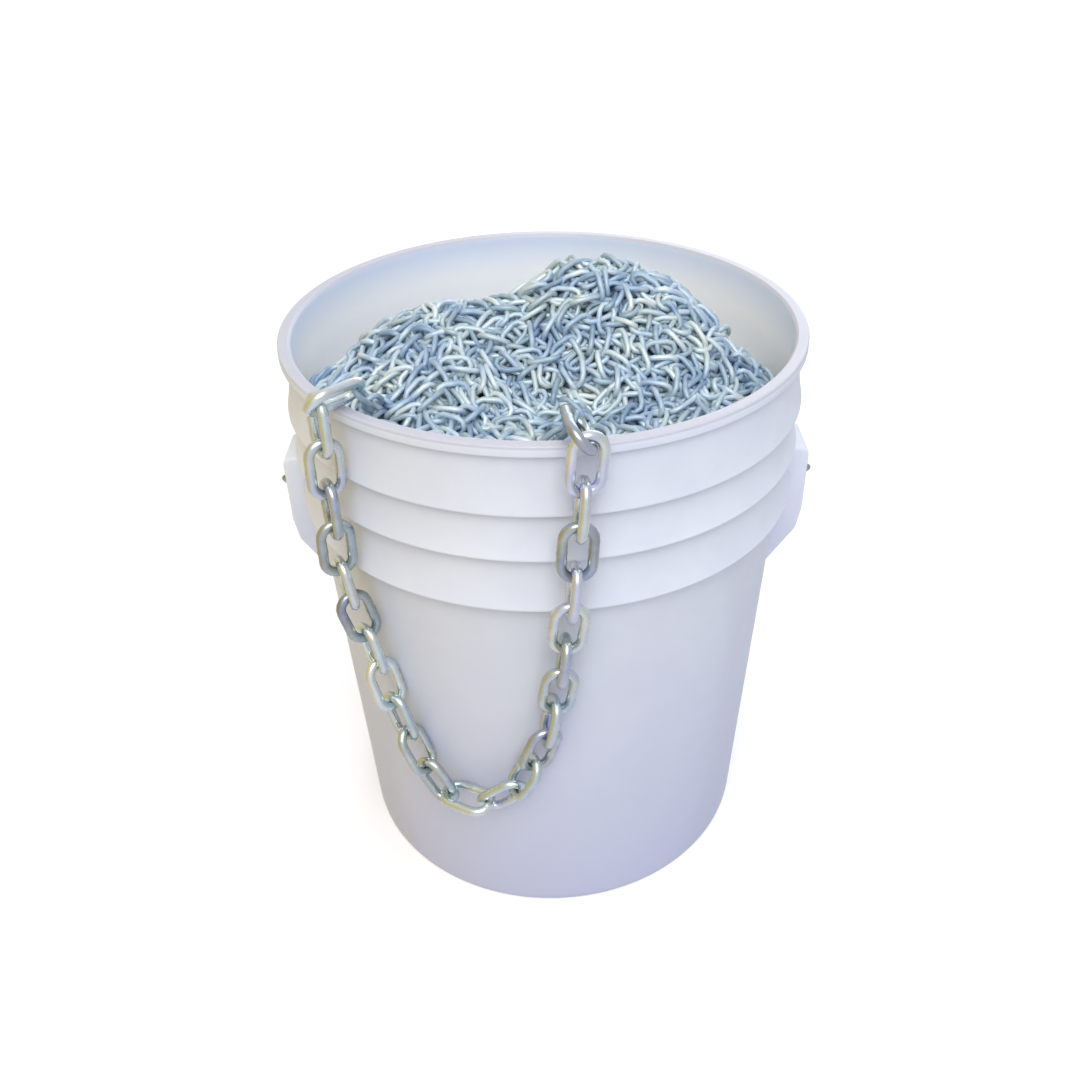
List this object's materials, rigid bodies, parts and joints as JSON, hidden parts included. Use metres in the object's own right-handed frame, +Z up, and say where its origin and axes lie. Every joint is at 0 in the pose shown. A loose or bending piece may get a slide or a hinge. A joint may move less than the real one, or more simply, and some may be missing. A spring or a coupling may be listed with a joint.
{
  "type": "pail of steel chain",
  "caption": "Heap of bright zinc-plated welded steel chain filling a white plastic pail with a wire bail, one length of the chain looped out over the rim.",
  "frame": {"origin": "centre of the pail's underside, on the floor", "axes": "+Z up along the pail's axis, X through the two bail ears, -Y towards the front, where the loop hangs"},
  "size_m": [0.337, 0.331, 0.3994],
  "materials": {
    "pail_plastic": "white high-density polyethylene, satin, slightly see-through",
    "bail_wire": "galvanised steel wire",
    "grip_plastic": "white plastic, satin",
    "zinc_plated_chain": "bright blue-white zinc plating"
  },
  "bodies": {
    "pail_with_chain": {"pail": "pail_plastic", "chain_heap": "zinc_plated_chain", "loop_link_01": "zinc_plated_chain", "loop_link_02": "zinc_plated_chain", "loop_link_03": "zinc_plated_chain", "loop_link_04": "zinc_plated_chain", "loop_link_05": "zinc_plated_chain", "loop_link_06": "zinc_plated_chain", "loop_link_07": "zinc_plated_chain", "loop_link_08": "zinc_plated_chain", "loop_link_09": "zinc_plated_chain", "loop_link_10": "zinc_plated_chain", "loop_link_11": "zinc_plated_chain", "loop_link_12": "zinc_plated_chain", "loop_link_13": "zinc_plated_chain", "loop_link_14": "zinc_plated_chain", "loop_link_15": "zinc_plated_chain", "loop_link_16": "zinc_plated_chain", "loop_link_17": "zinc_plated_chain", "loop_link_18": "zinc_plated_chain", "loop_link_19": "zinc_plated_chain", "loop_link_20": "zinc_plated_chain", "loop_link_21": "zinc_plated_chain", "loop_link_22": "zinc_plated_chain", "loop_link_23": "zinc_plated_chain", "rim_link_front": "zinc_plated_chain", "rim_link_left": "zinc_plated_chain"},
    "bail": {"bail_wire": "bail_wire", "bail_grip": "grip_plastic"}
  },
  "joints": [
    {"name": "bail_swing", "type": "hinge", "parent": "pail_with_chain", "child": "bail", "pos_m": [0, 0, 0.258], "axis": [1, 0, 0], "range_deg": [0, 175]}
  ]
}
